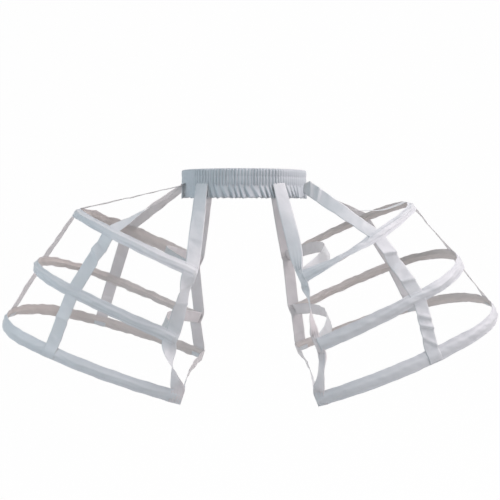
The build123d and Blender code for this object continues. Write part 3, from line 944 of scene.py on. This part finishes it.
band = make_band()
print("waistband:", len(band.data.polygons), "faces")

# %% [markdown]
# ## Stitches
# A machine stitch is about 3 mm long and lies half sunk in the cloth. Each is a short spindle
# of thread: rings of six points round its line, thin at the ends and thick in the middle.

# %% Stitches
STITCH_LENGTH, STITCH_GAP, THREAD_HALF = 2.6, 0.7, 0.28
STITCH_ARCH, FIRST_STITCH = 0.25, 0.5
# How far along a spindle its rings of points are, and how thick the thread is there
RING_PLACES = np.array([0.0, 0.25, 0.75, 1.0])
RING_FULL = np.array([0.35, 1.0, 1.0, 0.35])
RING_POINTS = 6


def make_stitches(name, starts, ends, outs):
    """Spindles from starts to ends, each arched out a little along outs."""
    share, thick = RING_PLACES, THREAD_HALF * RING_FULL
    arch = STITCH_ARCH * np.sin(np.pi * share)
    turn = np.linspace(0, 2 * np.pi, RING_POINTS, endpoint=False)
    way = unit(ends - starts)
    out = unit(outs - way * (outs * way).sum(1, keepdims=True))
    side_way = np.cross(way, out)
    line = (starts[:, None] + (ends - starts)[:, None] * share[:, None]
            + out[:, None] * arch[:, None])
    ring = out[:, None] * np.cos(turn)[:, None] + side_way[:, None] * np.sin(turn)[:, None]
    points = line[:, :, None] + thick[:, None, None] * ring[:, None]
    corner = np.arange(len(share) * RING_POINTS).reshape(len(share), RING_POINTS)
    after = np.roll(corner, -1, axis=1)
    walls = np.stack([corner[:-1], after[:-1], after[1:], corner[1:]], -1).reshape(-1, 4)
    # Two quads close each end
    first, last = corner[0][[0, 5, 4, 3, 3, 2, 1, 0]], corner[-1][[0, 1, 2, 3, 3, 4, 5, 0]]
    one = np.concatenate([walls, first.reshape(2, 4), last.reshape(2, 4)])
    quads = one[None] + corner.size * np.arange(len(starts))[:, None, None]
    mesh = quad_mesh(name, points, quads.reshape(-1, 4))
    mesh.materials.append(thread)
    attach(to_scene(name, mesh), "root")


def stitch_places(length):
    """Start and end distances of the stitches that fit in a length."""
    starts = np.arange(FIRST_STITCH, length - STITCH_LENGTH, STITCH_LENGTH + STITCH_GAP)
    return starts, starts + STITCH_LENGTH


print("stitches are", STITCH_LENGTH, "mm long")

# %% Stitch rows on the waistband and the casings
# Places of the rows: along the waistband's strip, and round a casing from its top edge
BAND_ROWS = (1.0, 2.0, 2.92)
EDGE_ROW = 0.098
CASING_ROWS = (EDGE_ROW, 0.5 - EDGE_ROW, 0.5 + EDGE_ROW, 1 - EDGE_ROW)

rows = []
starts, ends = stitch_places(WAIST_ROUND)
for strip in BAND_ROWS:
    a, b = (band_at(at, strip + 0 * at) for at in (starts, ends))
    rows.append((a, b, waist_outward(waist_angle((starts + ends) / 2))))
make_stitches("waistband_stitching", *(np.concatenate(x) for x in zip(*rows)))
print("waistband stitches:", sum(len(row[0]) for row in rows))

for side, level in HANG:
    rows = []
    half = from_nose(level, 0.0)
    starts, ends = (x - half for x in stitch_places(2 * half))
    for turn in CASING_ROWS:
        a, b = (casing_at(side, level, at, turn + 0 * at) for at in (starts, ends))
        out = on_hoop(side, level, (starts + ends) / 2)[1] * (1 if turn < 0.5 else -1)
        rows.append(tuple(to_side(x, side) for x in (a, b, out)))
    make_stitches(f"{side}_{level}_casing_stitching", *(np.concatenate(x) for x in zip(*rows)))
print("casing stitches: two rows on each face of", len(HANG), "casings")

# %% [markdown]
# ## Stage and light
# A pale floor and backdrop, a soft lamp overhead and one on each side in front. Floor and
# world are near white to the camera but light the object little, so its folds keep their shading.

# %% Rays that see the white background
def background_share(tree, most):
    """The share of pure white that a ray gets: most for camera, glossy and transmission rays,
    0 for the rays that carry light to the object."""
    ray = add(tree, "LightPath").outputs
    share = ray["Is Camera Ray"]
    for other in ("Is Glossy Ray", "Is Transmission Ray"):
        either = add(tree, "Math", {"operation": "MAXIMUM", 0: share, 1: ray[other]})
        share = either.outputs[0]
    return add(tree, "Math", {"operation": "MULTIPLY", 0: share, 1: most}).outputs[0]


print("white for camera, glossy and transmission rays")

# %% Floor and backdrop
FLOOR_Z, FLOOR_FRONT = -1000.0, -5000.0
WALL_Y, WALL_TOP = 2600.0, 4500.0
SWEEP_RADIUS, SWEEP_HALF = 900.0, 6000.0


def make_stage():
    """A floor that curves up into a backdrop: a quarter circle between two planes."""
    turn = np.linspace(0, np.pi / 2, 24)
    curve_y = WALL_Y - SWEEP_RADIUS + SWEEP_RADIUS * np.sin(turn)
    curve_z = FLOOR_Z + SWEEP_RADIUS - SWEEP_RADIUS * np.cos(turn)
    y = np.concatenate([[FLOOR_FRONT], curve_y, [WALL_Y]])[:, None]
    z = np.concatenate([[FLOOR_Z], curve_z, [WALL_TOP]])[:, None]
    x = np.array([-SWEEP_HALF, SWEEP_HALF])
    points = np.stack(np.broadcast_arrays(x, y, z), -1)
    index = np.arange(2 * len(y)).reshape(-1, 2)
    quads = np.stack([index[:-1, 0], index[:-1, 1], index[1:, 1], index[1:, 0]], -1)
    mesh = quad_mesh("studio_sweep", points, quads)
    material, tree = blank("studio_paper_matt")
    paper = add(tree, "BsdfDiffuse", {"Color": linear("#F4F3F2")})
    glow = add(tree, "Emission", {"Color": (1, 1, 1, 1), "Strength": 1.0})
    seen = mixed(tree, background_share(tree, 0.985), paper, glow)
    add(tree, "OutputMaterial", Surface=seen)
    mesh.materials.append(material)
    sweep = to_scene("studio_sweep", mesh)
    return sweep


print("stage:", make_stage().name)

# %% Lamps and world
def lamp(name, place, aim, size, power, colour):
    """A square area lamp at a place, turned to face its aim."""
    data = bpy.data.lights.new(name, "AREA")
    data.size, data.energy, data.color = size, power, linear(colour)[:3]
    lit = to_scene(name, data)
    way = unit(np.array(aim, float) - np.array(place, float))
    lit.location = place
    lit.rotation_euler = (np.arccos(-way[2]), 0.0, np.arctan2(-way[0], way[1]))


lamp("overhead", (1.3, 0.0, 2.0), (0, 0, -0.2), 1.2, 34.0, "#FFF0F1")
lamp("left", (-1.9, -1.1, 0.6), (-0.2, 0, -0.2), 1.6, 26.0, "#EDF4FF")
lamp("right", (1.8, -0.9, 0.9), (0.2, 0, -0.2), 1.2, 32.0, "#FFF1F6")
world = bpy.data.worlds.new("studio")
bpy.context.scene.world = world
world.use_nodes = True
tree = world.node_tree
tree.nodes.clear()
soft = add(tree, "Background", {"Color": linear("#EDF0F2"), "Strength": 0.13})
pale = add(tree, "Background", {"Color": linear("#FDFDFD"), "Strength": 1.0})
seen = mixed(tree, background_share(tree, 1.0), soft, pale)
add(tree, "OutputWorld", Surface=seen)
bpy.context.scene.view_settings.view_transform = "Standard"
print("lamps: 3")
